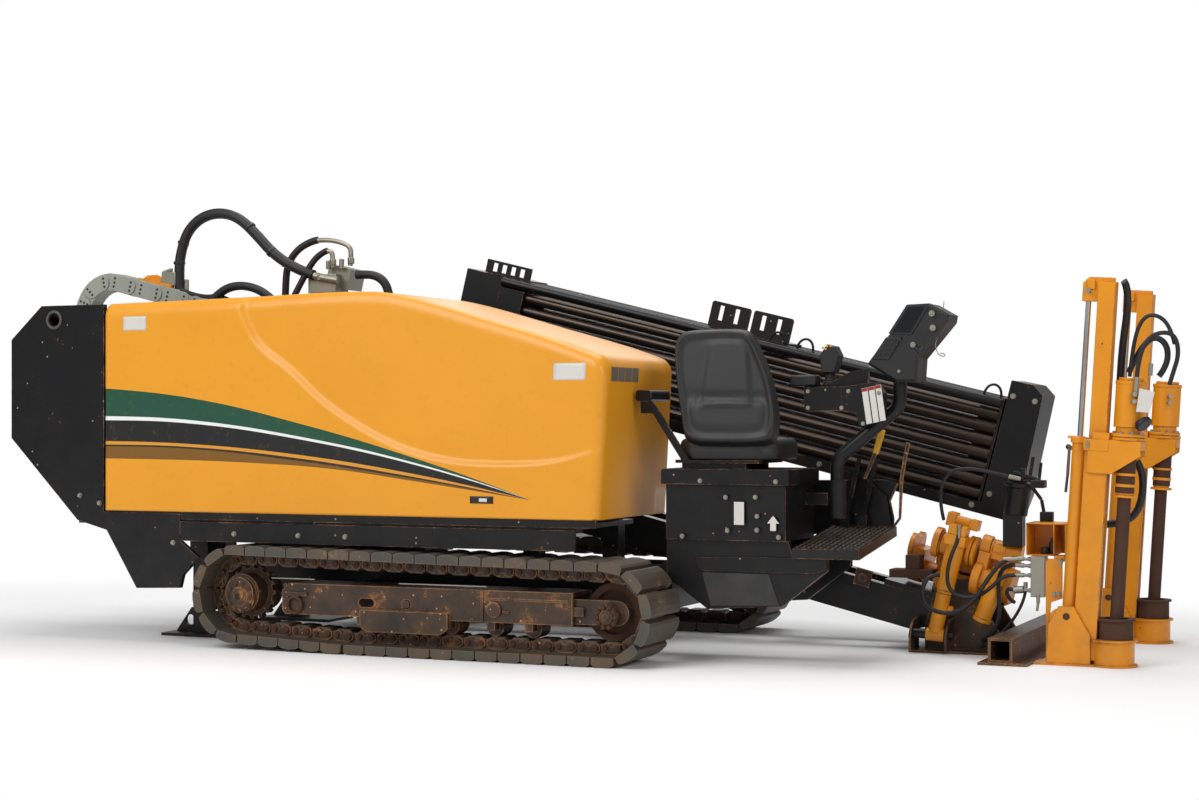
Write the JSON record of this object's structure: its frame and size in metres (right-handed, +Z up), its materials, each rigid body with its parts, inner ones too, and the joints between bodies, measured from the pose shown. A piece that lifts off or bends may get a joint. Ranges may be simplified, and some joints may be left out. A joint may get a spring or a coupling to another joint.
{
  "type": "horizontal directional drill",
  "caption": "Tracked drill rig with a tilted rack of drill rods, sliding rotary carriage, operator's seat and console, hinged engine hood and two ground anchors.",
  "frame": {"origin": "on the ground under the middle of the whole machine", "axes": "+X towards the anchors at the drilling end, +Y towards the rod box, +Z up"},
  "size_m": [6.5299, 2.384, 2.4516],
  "materials": {
    "black_paint": "satin",
    "yellow_paint": "gloss",
    "hood_shell": "gloss",
    "track_steel": "worn",
    "rusty_steel": "rusty",
    "engine_iron": "matte",
    "seat_vinyl": "satin",
    "rod_steel": "worn",
    "chrome_rod": "polished",
    "grey_steel": "satin",
    "chain_plastic": "matte",
    "moulded_plastic": "matte"
  },
  "bodies": {
    "chassis": {"main_frame": "black_paint", "side_beam": "black_paint", "rear_guard": "black_paint", "rear_grille": "black_paint", "engine_block": "engine_iron", "bay_wall": "black_paint", "track_frames": "rusty_steel", "track_near": "track_steel", "track_far": "track_steel", "drive_sprockets": "rusty_steel", "idler_wheels": "rusty_steel", "track_rollers": "rusty_steel", "seat_box": "black_paint", "seat_rails": "black_paint", "seat_cushion": "seat_vinyl", "seat_back": "seat_vinyl", "armrest": "black_paint", "foot_platform": "black_paint", "platform_bracket": "black_paint", "guard_plate": "black_paint", "control_levers": "black_paint", "post_socket": "black_paint", "rack_stand": "black_paint", "stabilizer_guides": "black_paint"},
    "hood": {"hood": "hood_shell"},
    "console": {"console_post": "black_paint", "console_box": "black_paint", "display_unit": "moulded_plastic", "joystick": "moulded_plastic"},
    "stabilizer_near": {"stabilizer_leg_near": "black_paint"},
    "stabilizer_far": {"stabilizer_leg_far": "black_paint"},
    "rack": {"rack_beam": "black_paint", "drill_rods": "rod_steel", "rod_box": "black_paint", "top_tubes": "black_paint", "top_brackets": "black_paint", "chain_tray": "black_paint", "hose_chain": "chain_plastic", "front_skid": "rusty_steel", "fixed_vise": "yellow_paint", "vise_base": "black_paint", "anchor_bases": "yellow_paint", "guide_collars": "rusty_steel", "lift_barrels": "yellow_paint"},
    "wrench": {"wrench_vise": "yellow_paint"},
    "carriage": {"carriage": "black_paint", "hose_manifold": "grey_steel", "carriage_hoses": "black_paint", "chain_arm": "yellow_paint"},
    "spindle": {"spindle": "rod_steel"},
    "anchor_near": {"anchor_slide_near": "yellow_paint", "anchor_motor_near": "yellow_paint", "lift_rod_near": "chrome_rod"},
    "anchor_far": {"anchor_slide_far": "yellow_paint", "anchor_motor_far": "yellow_paint", "lift_rod_far": "chrome_rod"},
    "auger_near": {"auger_near": "rusty_steel"},
    "auger_far": {"auger_far": "rusty_steel"}
  },
  "joints": [
    {"name": "hood_lift", "type": "hinge", "parent": "chassis", "child": "hood", "pos_m": [-0.7, -0.176, 1.852], "axis": [-1, 0, 0], "range_deg": [0, 60]},
    {"name": "rack_tilt", "type": "hinge", "parent": "chassis", "child": "rack", "pos_m": [-1.16114, 0.4, 0.9801], "axis": [0, -1, 0], "range_deg": [0, 6]},
    {"name": "console_swing", "type": "hinge", "parent": "chassis", "child": "console", "pos_m": [1.79, -0.42, 0.8], "axis": [0, 0, 1], "range_deg": [-35, 10]},
    {"name": "stabilizer_near_lift", "type": "slide", "parent": "chassis", "child": "stabilizer_near", "axis": [0, 0, 1], "range_m": [0, 0.25]},
    {"name": "stabilizer_far_lift", "type": "slide", "parent": "chassis", "child": "stabilizer_far", "axis": [0, 0, 1], "range_m": [0, 0.25]},
    {"name": "carriage_slide", "type": "slide", "parent": "rack", "child": "carriage", "axis": [0.9711, 0, -0.2385], "range_m": [0, 3.1]},
    {"name": "spindle_spin", "type": "hinge", "parent": "carriage", "child": "spindle", "pos_m": [-1.34531, 0.4, 1.23643], "axis": [0.9711, 0, -0.2385], "continuous": true},
    {"name": "wrench_turn", "type": "hinge", "parent": "rack", "child": "wrench", "pos_m": [1.99539, 0.4, 0.41587], "axis": [0.9711, 0, -0.2385], "range_deg": [-22, 0]},
    {"name": "anchor_near_slide", "type": "slide", "parent": "rack", "child": "anchor_near", "axis": [0.061, 0, 0.9981], "range_m": [-0.6, 0]},
    {"name": "anchor_far_slide", "type": "slide", "parent": "rack", "child": "anchor_far", "axis": [0.061, 0, 0.9981], "range_m": [-0.6, 0]},
    {"name": "auger_near_spin", "type": "hinge", "parent": "anchor_near", "child": "auger_near", "pos_m": [3.15558, -0.112, 0.78996], "axis": [0.061, 0, 0.9981], "continuous": true},
    {"name": "auger_far_spin", "type": "hinge", "parent": "anchor_far", "child": "auger_far", "pos_m": [3.15558, 1.077, 0.78996], "axis": [0.061, 0, 0.9981], "continuous": true}
  ]
}
